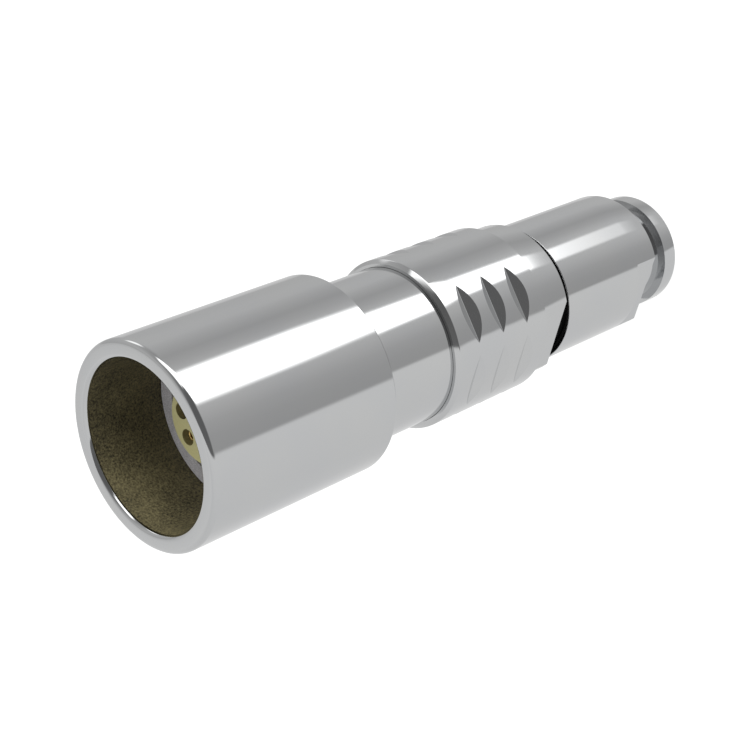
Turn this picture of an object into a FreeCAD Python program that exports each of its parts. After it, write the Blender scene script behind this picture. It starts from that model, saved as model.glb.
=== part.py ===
import FreeCAD, Part
import os
import re
import Sketcher

# Cable-mounted socket half of a push-pull circular connector.
# It stands on its cable end. The axis is Z, the socket opens upwards, and the
# middle of the bottom face is the origin. All lengths are in millimetres.

doc = FreeCAD.newDocument("push_pull_socket")

# Driving sizes, in millimetres or degrees
SIZES = {
    # Outside, from the front to the rear
    "shell_radius": 6.35,
    "shell_length": 13.9,
    "neck_step": 1.18,
    "neck_length": 6.2,
    "sleeve_wall": 0.36,
    "sleeve_relief": 0.04,
    "sleeve_length": 11.25,
    "sleeve_chamfer_length": 0.25,
    "sleeve_taper_length": 0.75,
    "sleeve_tail_step": 0.43,
    "sleeve_tail_length": 2.15,
    "release_travel": 0.6,
    "release_spare": 0.1,
    "nut_wall": 0.28,
    "nut_length": 9.8,
    "relief_neck_length": 2.15,
    "flange_rise": 0.54,
    "flange_length": 1.3,
    # Edges
    "rim_outer_round": 0.42,
    "rim_inner_round": 0.34,
    "edge_break": 0.12,
    # Grip grooves and wrench flats
    "groove_depth": 0.345,
    "groove_half_width": 0.69,
    "groove_pitch": 2.29,
    "first_groove": 2.05,
    "groove_rows": 3,
    "groove_group_angle": 48.5,
    "sleeve_flat_wall": 0.25,
    "nut_flat_wall": 0.49,
    "nut_flat_length": 2.1,
    # Clearances
    "fixed_clearance": 0.03,
    "running_clearance": 0.06,
    "neck_clearance": 0.09,
    "cut_margin": 0.5,
    # Socket and its retaining ring
    "shell_wall": 1.13,
    "bore_depth": 5.5,
    "ring_seat_taper": 0.07,
    "ring_seat_margin": 0.05,
    "insulator_gap": 0.31,
    "ring_thickness": 1.5,
    # Cavity behind the ring
    "cavity_wall": 0.42,
    "neck_overlap": 1.0,
    "neck_wall": 0.8,
    # Latch sleeve in the cavity
    "latch_wall": 0.26,
    "latch_tip_recess": 0.2,
    "latch_finger_length": 2.9,
    "latch_tab_depth": 0.8,
    "latch_count": 3,
    "latch_half_angle": 12.5,
    "latch_start_angle": 107.8,
    # Insulators and their carriers
    "carrier_clearance": 0.08,
    "carrier_wall": 0.48,
    "insulator_proud": 1.32,
    "front_insulator_length": 6.92,
    "rear_insulator_length": 6.0,
    "insulator_flange_rise": 0.26,
    "insulator_flange_depth": 3.82,
    "insulator_flange_length": 1.0,
    "nose_radius": 2.45,
    "carrier_lip_clearance": 0.12,
    "carrier_lip_length": 0.75,
    "spacer_wall": 0.8,
    # Contacts and their holes
    "contact_radius": 0.42,
    "contact_recess": 0.55,
    "contact_bore_radius": 0.28,
    "contact_bore_depth": 4.0,
    "contact_collar_radius": 0.54,
    "contact_collar_length": 0.6,
    "contact_tail_length": 1.5,
    "solder_cup_depth": 1.0,
    "hole_radius": 0.5,
    "hole_depth": 0.5,
    "contact_pitch_inset": 0.85,
    "ring_contacts": 6,
    "insert_turn": 2.7,
    # Tail of the shell, spring and collar
    "tail_step": 1.72,
    "tail_wall": 0.55,
    "tail_reach": 7.25,
    "mouth_cone_length": 1.0,
    "mouth_cone_rise": 0.25,
    "lip_thickness": 1.2,
    "spring_space": 0.8,
    "spring_wire_radius": 0.2,
    "spring_turns": 7,
    "collar_length": 2.8,
    "collar_overlap": 0.65,
    "collar_guide_clearance": 0.08,
    "snap_ring_thickness": 0.4,
    "snap_groove_depth": 0.25,
    "snap_ring_width": 0.75,
    "snap_ring_gap": 1.6,
    # Cable nut and what it clamps
    "seal_space": 0.33,
    "nut_counterbore_depth": 1.5,
    "nut_floor": 0.65,
    "nut_floor_width": 1.01,
    "relief_neck_wall": 0.93,
    "seal_depth": 0.45,
    "washer_thickness": 0.6,
    "washer_bore_rise": 0.3,
    "collet_head_clearance": 0.21,
    "collet_head_length": 0.7,
    "collet_cone_length": 1.4,
    "collet_front_length": 4.0,
    "collet_wall": 0.64,
    "collet_slot": 0.5,
    "collet_slots": 4,
    "gasket_wall": 0.38,
    "gasket_inset": 0.4,
}

# Heights and radii worked out from the driving sizes
PLACES = {
    "nut_rear": "flange_length + relief_neck_length",
    "nut_front": "nut_rear + nut_length",
    "sleeve_rear": "nut_front + release_travel + release_spare",
    "sleeve_front": "sleeve_rear + sleeve_length",
    "shell_rear": "sleeve_front + neck_length",
    "top": "shell_rear + shell_length",
    "sleeve_tail_front": "sleeve_rear + sleeve_tail_length",
    "sleeve_taper_front": "sleeve_tail_front + sleeve_taper_length",
    "neck_radius": "shell_radius - neck_step",
    "sleeve_radius": "neck_radius + neck_clearance + sleeve_wall",
    "sleeve_tail_radius": "sleeve_radius - sleeve_tail_step",
    "tail_radius": "neck_radius - tail_step",
    "sleeve_bore_radius": "tail_radius + spring_space",
    "sleeve_flats": "2 * (sleeve_bore_radius + sleeve_flat_wall)",
    "nut_counterbore_radius": "collar_radius + seal_space",
    "nut_radius": "nut_counterbore_radius + nut_wall",
    "nut_flats": "2 * (nut_bore_radius + nut_flat_wall)",
    "nut_hole_radius": "nut_bore_radius - nut_floor_width",
    "relief_neck_radius": "nut_hole_radius + relief_neck_wall",
    "flange_radius": "relief_neck_radius + flange_rise",
    "bore_radius": "shell_radius - shell_wall",
    "cavity_radius": "neck_radius - cavity_wall",
    "ring_inner_radius": "insulator_radius + insulator_gap",
    "ring_face": "top - bore_depth",
    "ring_rear": "ring_face - ring_thickness",
    "ring_seat_radius": "bore_radius - ring_seat_taper",
    "neck_shoulder": "sleeve_front - neck_overlap",
    "cavity_floor": "neck_shoulder + neck_wall",
    "latch_outer_radius": "cavity_radius - running_clearance",
    "latch_inner_radius": "latch_outer_radius - latch_wall",
    "latch_tip": "ring_face - latch_tip_recess",
    "latch_tube_front": "latch_tip - latch_finger_length",
    "latch_tube_rear": "cavity_floor + release_travel + release_spare",
    "lip_front": "neck_shoulder - fixed_clearance",
    "lip_rear": "lip_front - lip_thickness",
    "latch_rear": "lip_front - latch_tab_depth",
    "insulator_face": "ring_face + insulator_proud",
    "insulator_joint": "insulator_face - front_insulator_length",
    "insulator_rear": "insulator_joint - rear_insulator_length",
    "insulator_flange_front": "insulator_face - insulator_flange_depth",
    "insulator_flange_rear": "insulator_flange_front - insulator_flange_length",
    "carrier_radius": "latch_inner_radius - carrier_clearance",
    "insulator_radius": "carrier_radius - carrier_wall - fixed_clearance",
    "insulator_flange_radius": "insulator_radius + insulator_flange_rise",
    "contact_pitch_radius": "nose_radius - contact_pitch_inset",
    "carrier_lip_radius": "contact_pitch_radius + contact_radius + carrier_lip_clearance",
    "carrier_front": "ring_rear - fixed_clearance",
    "carrier_rear": "insulator_rear - fixed_clearance - carrier_lip_length",
    "tail_end": "nut_front - tail_reach",
    "tail_bore_radius": "tail_radius - tail_wall",
    "collar_rear": "nut_front - collar_overlap",
    "collar_front": "collar_rear + collar_length",
    "collar_radius": "sleeve_bore_radius - collar_guide_clearance",
    "tail_fit_radius": "tail_radius + fixed_clearance",
    "lip_radius": "tail_radius + running_clearance",
    "snap_front": "collar_rear - fixed_clearance",
    "snap_rear": "snap_front - snap_ring_thickness",
    "snap_groove_radius": "tail_radius - snap_groove_depth",
    "spring_radius": "(sleeve_bore_radius + lip_radius) / 2",
    "nut_floor_face": "nut_rear + nut_floor",
    "nut_bore_radius": "tail_radius + running_clearance",
    "counterbore_floor": "nut_front - nut_counterbore_depth",
    "washer_rear": "nut_floor_face + fixed_clearance",
    "collet_rear": "washer_rear + washer_thickness + fixed_clearance",
    "collet_head_front": "collet_rear + collet_head_length",
    "collet_cone_front": "collet_head_front + collet_cone_length",
    "collet_front": "collet_cone_front + collet_front_length",
    "collet_radius": "tail_bore_radius - running_clearance",
    "collet_head_radius": "nut_bore_radius - collet_head_clearance",
    "collet_bore_radius": "collet_radius - collet_wall",
}


def make_sheet():
    """Put the driving sizes into a sheet, one named cell each."""
    sheet = doc.addObject("Spreadsheet::Sheet", "Sizes")
    for row, (name, value) in enumerate(SIZES.items(), start=1):
        sheet.set(f"A{row}", name)
        sheet.set(f"B{row}", str(value))
        sheet.setAlias(f"B{row}", name)
    doc.recompute()
    return sheet


def bind(text):
    """Turn size and place names in a formula into an expression on the sheet."""
    def swap(match):
        name = match.group(0)
        if name in PLACES:
            return "(" + bind(PLACES[name]) + ")"
        if name in SIZES:
            return "Sizes." + name
        return name
    return re.sub(r"[a-z][a-z_]+", swap, text)


def number(text):
    """Value of a formula now."""
    value = sheet.evalExpression(bind(text))
    return float(getattr(value, "Value", value))


def origin_feature(body, role):
    """Origin plane or axis of a body."""
    return next(item for item in body.Origin.OriginFeatures if item.Role == role)


def pin(sketch, line, kind, text):
    """Hold the start of a line at a distance from the sketch's origin."""
    value = number(text)
    if text == "0":
        axis = -2 if kind == "DistanceX" else -1
        sketch.addConstraint(Sketcher.Constraint("PointOnObject", line, 1, axis))
        return
    index = sketch.addConstraint(Sketcher.Constraint(kind, -1, 1, line, 1, value))
    sketch.setExpression(f"Constraints[{index}]", bind(text))


def place_sketch(sketch, body, plane, shift, height, turn):
    """Attach a sketch to an origin plane, moved along its own axes and turned about Z."""
    sketch.AttachmentSupport = [(origin_feature(body, plane), "")]
    sketch.MapMode = "FlatFace"
    axis = FreeCAD.Vector(0, 0, 1) if plane == "XY_Plane" else FreeCAD.Vector(0, 1, 0)
    turned = FreeCAD.Rotation(axis, number(turn))
    base = FreeCAD.Vector(number(shift), 0, number(height))
    sketch.AttachmentOffset = FreeCAD.Placement(base, turned)
    sketch.setExpression("AttachmentOffset.Base.x", bind(shift))
    sketch.setExpression("AttachmentOffset.Base.z", bind(height))
    sketch.setExpression("AttachmentOffset.Rotation.Angle", bind(turn))


def outline(body, name, loops, plane="XZ_Plane", shift="0", height="0", turn="0"):
    """Sketch of closed straight-sided loops; each point is a pair of formulas."""
    sketch = body.newObject("Sketcher::SketchObject", name)
    place_sketch(sketch, body, plane, shift, height, turn)
    for points in loops:
        first = sketch.GeometryCount
        count = len(points)
        places = [FreeCAD.Vector(number(x), number(y), 0) for x, y in points]
        for index, start in enumerate(places):
            sketch.addGeometry(Part.LineSegment(start, places[(index + 1) % count]), False)
        for index in range(count):
            joint = (first + index, 2, first + (index + 1) % count, 1)
            sketch.addConstraint(Sketcher.Constraint("Coincident", *joint))
        for index, (x, y) in enumerate(points):
            pin(sketch, first + index, "DistanceX", x)
            pin(sketch, first + index, "DistanceY", y)
    return sketch


def new_body(label):
    """Empty body that will be one sub-part."""
    body = doc.addObject("PartDesign::Body", label)
    body.Label = label
    return body


def turned_piece(label, points, angle=360):
    """Body of revolution about Z from one loop of (radius, height) points."""
    body = new_body(label)
    sketch = outline(body, label + "_section", [points])
    feature = body.newObject("PartDesign::Revolution", label + "_turning")
    feature.Profile = sketch
    feature.ReferenceAxis = (sketch, ["V_Axis"])
    feature.Angle = angle
    feature.Midplane = angle < 360
    doc.recompute()
    return body


def tube(inner, outer, low, high):
    """Outline of a plain ring or tube."""
    return [(inner, low), (outer, low), (outer, high), (inner, high)]


def box_loop(left, right, low, high):
    """Outline of a rectangle."""
    return [(left, low), (right, low), (right, high), (left, high)]


def cut(body, name, sketch, depth):
    """Cut a sketch equally to both sides of its plane, and check that it takes material."""
    before = body.Shape.Volume
    feature = body.newObject("PartDesign::Pocket", name)
    feature.Profile = sketch
    feature.SideType = "Symmetric"
    feature.setExpression("Length", bind(depth))
    doc.recompute()
    if body.Shape.Volume >= before:
        raise RuntimeError(name + " cuts nothing")
    return feature


def around(body, feature, count, span):
    """Repeat a feature about Z; the span is the whole angle."""
    pattern = body.newObject("PartDesign::PolarPattern", feature.Name + "_round")
    pattern.Originals = [feature]
    pattern.Axis = (origin_feature(body, "Z_Axis"), [""])
    pattern.setExpression("Angle", bind(span))
    pattern.setExpression("Occurrences", bind(count))
    body.Tip = pattern
    doc.recompute()
    return pattern


def round_edge(body, name, radius, height, size):
    """Fillet the circular edge of this radius at this height."""
    picks = []
    for index, edge in enumerate(body.Shape.Edges, start=1):
        curve = edge.Curve
        if not isinstance(curve, Part.Circle):
            continue
        same_radius = abs(curve.Radius - number(radius)) < 1e-6
        same_height = abs(curve.Center.z - number(height)) < 1e-6
        if same_radius and same_height:
            picks.append(f"Edge{index}")
    base = body.Tip
    feature = body.newObject("PartDesign::Fillet", name)
    feature.Base = (base, picks)
    feature.setExpression("Radius", bind(size))
    body.Tip = feature
    doc.recompute()


def latch_windows(body, name, low, high):
    """Cut the windows that the latch sleeve's fingers or tabs pass through."""
    inner = "latch_inner_radius * cos(latch_half_angle * 1deg) - running_clearance"
    outer = "latch_outer_radius + running_clearance"
    side = "latch_outer_radius * sin(latch_half_angle * 1deg) + running_clearance"
    loop = box_loop(inner, outer, "-(" + side + ")", side)
    middle = f"({low} + {high}) / 2"
    sketch = outline(body, name + "_sketch", [loop], "XY_Plane", height=middle, turn="latch_start_angle")
    window = cut(body, name, sketch, f"{high} - ({low})")
    around(body, window, "latch_count", "360")


def hole_outline(body, front, rear, extra):
    """Half section of one contact hole, in steps down from the front."""
    return [("0", front), *extra, ("contact_radius + fixed_clearance", rear), ("0", rear)]


def turn_piece(body, angle):
    """Turn a whole piece about Z, by an angle in degrees."""
    turned = FreeCAD.Rotation(FreeCAD.Vector(0, 0, 1), number(angle))
    body.Placement = FreeCAD.Placement(FreeCAD.Vector(), turned)
    body.setExpression("Placement.Rotation.Angle", bind(angle))
    doc.recompute()


def contact_holes(body, points):
    """Cut the centre hole and the ring of holes with one stepped outline, then turn the pattern."""
    rings = [("centre", "0", "1"), ("ring", "contact_pitch_radius", "ring_contacts")]
    for ring, pitch, count in rings:
        before = body.Shape.Volume
        sketch = outline(body, f"{body.Label}_{ring}_hole", [points], shift=pitch)
        feature = body.newObject("PartDesign::Groove", f"{body.Label}_{ring}")
        feature.Profile = sketch
        feature.ReferenceAxis = (sketch, ["V_Axis"])
        feature.Angle = 360
        doc.recompute()
        if body.Shape.Volume >= before:
            raise RuntimeError(feature.Name + " cuts nothing")
        if count != "1":
            around(body, feature, count, "360")
    turn_piece(body, "insert_turn")


def make_socket_shell():
    """Front shell, neck and threaded tail, turned in one piece."""
    body = turned_piece("socket_shell", [
        ("bore_radius", "top"),
        ("bore_radius", "insulator_face + ring_seat_margin"),
        ("ring_seat_radius", "ring_rear"),
        ("cavity_radius", "ring_rear"),
        ("cavity_radius", "cavity_floor"),
        ("tail_bore_radius", "cavity_floor"),
        ("tail_bore_radius", "tail_end + mouth_cone_length"),
        ("tail_bore_radius + mouth_cone_rise", "tail_end"),
        ("tail_radius - edge_break", "tail_end"),
        ("tail_radius", "tail_end + edge_break"),
        ("tail_radius", "snap_rear"),
        ("snap_groove_radius", "snap_rear"),
        ("snap_groove_radius", "snap_front"),
        ("tail_radius", "snap_front"),
        ("tail_radius", "neck_shoulder"),
        ("neck_radius", "neck_shoulder"),
        ("neck_radius", "shell_rear"),
        ("shell_radius - edge_break", "shell_rear"),
        ("shell_radius", "shell_rear + edge_break"),
        ("shell_radius", "top"),
    ])
    latch_windows(body, "neck_window", "neck_shoulder", "cavity_floor")
    round_edge(body, "rim_outside", "shell_radius", "top", "rim_outer_round")
    round_edge(body, "rim_inside", "bore_radius", "top", "rim_inner_round")
    return body


def make_retaining_ring():
    """Ring at the bottom of the socket, with windows for the latch fingers."""
    body = turned_piece("insert_retaining_ring", tube(
        "ring_inner_radius", "ring_seat_radius - fixed_clearance", "ring_rear", "ring_face"))
    latch_windows(body, "ring_window", "ring_rear", "ring_face")
    return body


def make_front_insulator():
    """Front insulator: a flange that the carriers hold, and a nose with a recess at each contact."""
    body = turned_piece("front_insulator", [
        ("0", "insulator_joint"),
        ("insulator_radius", "insulator_joint"),
        ("insulator_radius", "insulator_flange_rear"),
        ("insulator_flange_radius", "insulator_flange_rear"),
        ("insulator_flange_radius", "insulator_flange_front"),
        ("nose_radius", "insulator_flange_front"),
        ("nose_radius", "insulator_face"),
        ("0", "insulator_face"),
    ])
    contact_holes(body, hole_outline(body, "insulator_face", "insulator_joint", [
        ("hole_radius", "insulator_face"),
        ("hole_radius", "insulator_face - hole_depth"),
        ("contact_radius + fixed_clearance", "insulator_face - hole_depth"),
    ]))
    return body


def make_rear_insulator():
    """Rear insulator, recessed for the contacts' collars."""
    body = turned_piece("rear_insulator", [
        ("0", "insulator_rear"),
        ("insulator_radius", "insulator_rear"),
        ("insulator_radius", "insulator_joint"),
        ("0", "insulator_joint"),
    ])
    recess = "contact_collar_radius + fixed_clearance"
    floor = "insulator_joint - contact_collar_length - fixed_clearance"
    contact_holes(body, hole_outline(body, "insulator_joint", "insulator_rear", [
        (recess, "insulator_joint"),
        (recess, floor),
        ("contact_radius + fixed_clearance", floor),
    ]))
    return body


def make_contact(label, pitch, angle):
    """Socket contact with a collar and a solder cup, at one place of the pattern."""
    front = "insulator_face - contact_recess"
    rear = "insulator_rear - contact_tail_length"
    collar_front = "insulator_joint - fixed_clearance / 2"
    collar_rear = collar_front + " - contact_collar_length"
    body = turned_piece(label, [
        ("0", front + " - contact_bore_depth"),
        ("contact_bore_radius", front + " - contact_bore_depth"),
        ("contact_bore_radius", front),
        ("contact_radius", front),
        ("contact_radius", collar_front),
        ("contact_collar_radius", collar_front),
        ("contact_collar_radius", collar_rear),
        ("contact_radius", collar_rear),
        ("contact_radius", rear),
        ("contact_bore_radius", rear),
        ("contact_bore_radius", rear + " + solder_cup_depth"),
        ("0", rear + " + solder_cup_depth"),
    ])
    body.setExpression("Placement.Base.x", bind(f"{pitch} * cos({angle})"))
    body.setExpression("Placement.Base.y", bind(f"{pitch} * sin({angle})"))
    doc.recompute()
    return body


def make_contacts():
    """Centre contact and the ring round it, numbered from the middle."""
    spots = [("0", "0deg")]
    for index in range(round(number("ring_contacts"))):
        spots.append(("contact_pitch_radius", f"{index} * 360deg / ring_contacts + insert_turn * 1deg"))
    return [make_contact(f"contact_{index:02d}", *spot) for index, spot in enumerate(spots, start=1)]


def make_carrier(label, turn):
    """Half shell that holds both insulators, in a half turn."""
    bore = "insulator_radius + fixed_clearance"
    groove = "insulator_flange_radius + fixed_clearance"
    body = turned_piece(label, [
        (bore, "carrier_front"),
        (bore, "insulator_flange_front + fixed_clearance"),
        (groove, "insulator_flange_front + fixed_clearance"),
        (groove, "insulator_flange_rear - fixed_clearance"),
        (bore, "insulator_flange_rear - fixed_clearance"),
        (bore, "insulator_rear - fixed_clearance"),
        ("carrier_lip_radius", "insulator_rear - fixed_clearance"),
        ("carrier_lip_radius", "carrier_rear"),
        ("carrier_radius", "carrier_rear"),
        ("carrier_radius", "carrier_front"),
    ], angle=180)
    turn_piece(body, turn)
    return body


def make_insert_spacer():
    """Tube between the carriers and the floor of the cavity."""
    return turned_piece("insert_spacer", tube(
        "carrier_radius - spacer_wall", "carrier_radius",
        "cavity_floor + fixed_clearance", "carrier_rear - fixed_clearance"))


def make_latch_sleeve():
    """Thin tube with fingers at the front and tabs at the rear, drawn back by the grip."""
    body = turned_piece("latch_sleeve", tube(
        "latch_inner_radius", "latch_outer_radius", "latch_rear", "latch_tip"))
    reach = "2 * latch_outer_radius"
    edge = "latch_half_angle * 1deg"
    step = "360deg / latch_count"
    loop = [
        ("0", "0"),
        (f"{reach} * cos({edge})", f"{reach} * sin({edge})"),
        (f"2 * {reach} * cos({step} / 2)", f"2 * {reach} * sin({step} / 2)"),
        (f"{reach} * cos({step} - {edge})", f"{reach} * sin({step} - {edge})"),
    ]
    spans = {
        "finger_gap": ("latch_tube_front", "latch_tip + cut_margin"),
        "tab_gap": ("latch_rear - cut_margin", "latch_tube_rear"),
    }
    for name, (low, high) in spans.items():
        middle = f"({low} + {high}) / 2"
        sketch = outline(body, name + "_sketch", [loop], "XY_Plane", height=middle, turn="latch_start_angle")
        gap = cut(body, name, sketch, f"{high} - ({low})")
        around(body, gap, "latch_count", "360")
    return body


def make_grip_sleeve():
    """Grip sleeve with chordal V grooves, wrench flats and an inner lip."""
    body = turned_piece("grip_sleeve", [
        ("neck_radius + neck_clearance", "sleeve_front"),
        ("neck_radius + neck_clearance + sleeve_relief", "lip_front"),
        ("lip_radius", "lip_front"),
        ("lip_radius", "lip_rear"),
        ("sleeve_bore_radius", "lip_rear"),
        ("sleeve_bore_radius", "sleeve_rear"),
        ("sleeve_tail_radius - edge_break", "sleeve_rear"),
        ("sleeve_tail_radius", "sleeve_rear + edge_break"),
        ("sleeve_tail_radius", "sleeve_tail_front"),
        ("sleeve_radius", "sleeve_taper_front"),
        ("sleeve_radius", "sleeve_front - sleeve_chamfer_length"),
        ("neck_radius + neck_clearance + edge_break", "sleeve_front"),
    ])
    flats = [box_loop(f"{side} * sleeve_flats / 2", f"{side} * (sleeve_radius + cut_margin)",
                      "sleeve_rear - cut_margin", "sleeve_tail_front") for side in ("1", "-1")]
    cut(body, "sleeve_flat", outline(body, "sleeve_flat_sketch", flats), "4 * sleeve_radius")
    grooves = []
    for row in range(round(number("groove_rows"))):
        middle = f"sleeve_front - first_groove - {row} * groove_pitch"
        half = "groove_half_width * (groove_depth + cut_margin) / groove_depth"
        for side in ("1", "-1"):
            bottom = f"{side} * (sleeve_radius - groove_depth)"
            outside = f"{side} * (sleeve_radius + cut_margin)"
            high = f"{middle} + {half}"
            low = f"{middle} - {half}"
            grooves.append([(bottom, middle), (outside, high), (outside, low)])
    sketch = outline(body, "grip_groove_sketch", grooves, turn="-groove_group_angle")
    group = cut(body, "grip_groove", sketch, "4 * sleeve_radius")
    around(body, group, "3", "2 * groove_group_angle")
    latch_windows(body, "lip_pocket", "lip_front - latch_tab_depth", "lip_front")
    return body


def make_return_spring():
    """Coil spring between the sleeve's lip and the spring collar."""
    body = new_body("return_spring")
    low = "collar_front + spring_wire_radius + fixed_clearance"
    high = "lip_rear - spring_wire_radius - fixed_clearance"
    sketch = body.newObject("Sketcher::SketchObject", "spring_wire")
    place_sketch(sketch, body, "XZ_Plane", "0", "0", "0")
    centre = FreeCAD.Vector(number("spring_radius"), number(low), 0)
    sketch.addGeometry(Part.Circle(centre, FreeCAD.Vector(0, 0, 1), number("spring_wire_radius")), False)
    holds = [("DistanceX", (-1, 1, 0, 3), "spring_radius"), ("DistanceY", (-1, 1, 0, 3), low),
             ("Radius", (0,), "spring_wire_radius")]
    for kind, where, text in holds:
        index = sketch.addConstraint(Sketcher.Constraint(kind, *where, number(text)))
        sketch.setExpression(f"Constraints[{index}]", bind(text))
    coil = body.newObject("PartDesign::AdditiveHelix", "spring_coil")
    coil.Profile = sketch
    coil.ReferenceAxis = (sketch, ["V_Axis"])
    coil.Mode = "height-turns-angle"
    coil.setExpression("Height", bind(f"{high} - ({low})"))
    coil.setExpression("Turns", bind("spring_turns"))
    body.Tip = coil
    doc.recompute()
    return body


def make_spring_collar():
    """Collar that the spring pushes against and that guides the sleeve's rear."""
    return turned_piece("spring_collar", [
        ("tail_fit_radius", "collar_rear"),
        ("collar_radius - edge_break", "collar_rear"),
        ("collar_radius", "collar_rear + edge_break"),
        ("collar_radius", "collar_front"),
        ("tail_fit_radius", "collar_front"),
    ])


def make_snap_ring():
    """Open ring in the tail's groove that holds the collar."""
    inner = "snap_groove_radius + fixed_clearance"
    outer = inner + " + snap_ring_width"
    low = "snap_rear + fixed_clearance / 2"
    high = "snap_front - fixed_clearance / 2"
    body = turned_piece("collar_snap_ring", tube(inner, outer, low, high))
    gap = box_loop("cut_margin", "sleeve_radius", "snap_rear - cut_margin", "snap_front + cut_margin")
    cut(body, "snap_gap", outline(body, "snap_gap_sketch", [gap]), "snap_ring_gap")
    return body


def make_collet_nut():
    """Cable nut with wrench flats, then a groove and a flange for a bend relief."""
    body = turned_piece("collet_nut", [
        ("nut_hole_radius", "0"),
        ("flange_radius - edge_break", "0"),
        ("flange_radius", "edge_break"),
        ("flange_radius", "flange_length"),
        ("relief_neck_radius", "flange_length"),
        ("relief_neck_radius", "nut_rear"),
        ("nut_radius - edge_break", "nut_rear"),
        ("nut_radius", "nut_rear + edge_break"),
        ("nut_radius", "nut_front - edge_break"),
        ("nut_radius - edge_break", "nut_front"),
        ("nut_counterbore_radius", "nut_front"),
        ("nut_counterbore_radius", "counterbore_floor"),
        ("nut_bore_radius", "counterbore_floor"),
        ("nut_bore_radius", "nut_floor_face"),
        ("nut_hole_radius", "nut_floor_face"),
    ])
    flats = [box_loop(f"{side} * nut_flats / 2", f"{side} * (nut_radius + cut_margin)",
                      "nut_rear - cut_margin", "nut_rear + nut_flat_length") for side in ("1", "-1")]
    cut(body, "nut_flat", outline(body, "nut_flat_sketch", flats), "4 * nut_radius")
    return body


def make_nut_seal():
    """Black ring in the nut's counterbore, round the collar."""
    body = new_body("nut_seal")
    middle = "(collar_radius + nut_counterbore_radius) / 2"
    thick = "(nut_counterbore_radius - collar_radius) / 2 - fixed_clearance"
    sketch = body.newObject("Sketcher::SketchObject", "seal_section")
    place_sketch(sketch, body, "XZ_Plane", "0", "0", "0")
    centre = FreeCAD.Vector(number(middle), number("nut_front - seal_depth"), 0)
    sketch.addGeometry(Part.Circle(centre, FreeCAD.Vector(0, 0, 1), number(thick)), False)
    holds = [("DistanceX", (-1, 1, 0, 3), middle), ("DistanceY", (-1, 1, 0, 3), "nut_front - seal_depth"),
             ("Radius", (0,), thick)]
    for kind, where, text in holds:
        index = sketch.addConstraint(Sketcher.Constraint(kind, *where, number(text)))
        sketch.setExpression(f"Constraints[{index}]", bind(text))
    ring = body.newObject("PartDesign::Revolution", "seal_turning")
    ring.Profile = sketch
    ring.ReferenceAxis = (sketch, ["V_Axis"])
    ring.Angle = 360
    doc.recompute()
    return body


def make_thrust_washer():
    """Washer between the nut's floor and the collet's head."""
    outer = "nut_bore_radius - running_clearance"
    return turned_piece("thrust_washer", tube(
        "nut_hole_radius + washer_bore_rise", outer, "washer_rear", "washer_rear + washer_thickness"))


def make_cable_collet():
    """Slotted collet whose cone fits the mouth of the tail."""
    cone_top = "collet_radius + mouth_cone_rise / mouth_cone_length * collet_cone_length"
    body = turned_piece("cable_collet", [
        ("collet_bore_radius", "collet_rear"),
        ("collet_head_radius", "collet_rear"),
        ("collet_head_radius", "collet_head_front"),
        (cone_top, "collet_head_front"),
        ("collet_radius", "collet_cone_front"),
        ("collet_radius", "collet_front"),
        ("collet_bore_radius", "collet_front"),
    ])
    slot = box_loop("-collet_slot / 2", "collet_slot / 2", "collet_head_front", "collet_front + cut_margin")
    sketch = outline(body, "collet_slot_sketch", [slot])
    feature = cut(body, "collet_slot", sketch, "4 * collet_head_radius")
    around(body, feature, "collet_slots / 2", "180 - 360 / collet_slots")
    return body


def make_cable_gasket():
    """Rubber tube inside the collet, round the cable."""
    outer = "collet_bore_radius - fixed_clearance"
    return turned_piece("cable_gasket", tube(
        outer + " - gasket_wall", outer, "collet_rear + gasket_inset", "collet_front - gasket_inset"))


def check(pieces):
    """Stop if a feature failed or a piece is not one sound solid."""
    failed = [item.Name for item in doc.Objects if "Invalid" in item.State or "Error" in item.State]
    if failed:
        raise RuntimeError("failed features: " + ", ".join(failed))
    for piece in pieces:
        if piece.Shape.isNull() or not piece.Shape.isValid() or len(piece.Shape.Solids) != 1:
            raise RuntimeError(piece.Label + " is not one valid solid")


sheet = make_sheet()
pieces = [
    make_socket_shell(),
    make_retaining_ring(),
    make_front_insulator(),
    make_rear_insulator(),
    *make_contacts(),
    make_carrier("insert_carrier_right", "0"),
    make_carrier("insert_carrier_left", "180"),
    make_insert_spacer(),
    make_latch_sleeve(),
    make_grip_sleeve(),
    make_return_spring(),
    make_spring_collar(),
    make_snap_ring(),
    make_collet_nut(),
    make_nut_seal(),
    make_thrust_washer(),
    make_cable_collet(),
    make_cable_gasket(),
]
doc.recompute()
check(pieces)
os.makedirs("parts", exist_ok=True)
for piece in pieces:
    piece.Shape.exportStep(f"parts/{piece.Label}.step")
    print(f"{piece.Label:24s} {piece.Shape.Volume:9.2f} mm3")
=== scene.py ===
"""Looks of the cable socket half of a push-pull circular connector.

It stands on its cable end. Z is its axis and the socket's mouth is at the top.
Lengths of the connector below are in millimetres; meshes and the studio are in metres.
"""
import logging
import math
from dataclasses import dataclass, field
from enum import Enum
from typing import Callable, Iterable, Sequence

import bmesh
import bpy
from mathutils import Matrix, Vector


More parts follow.
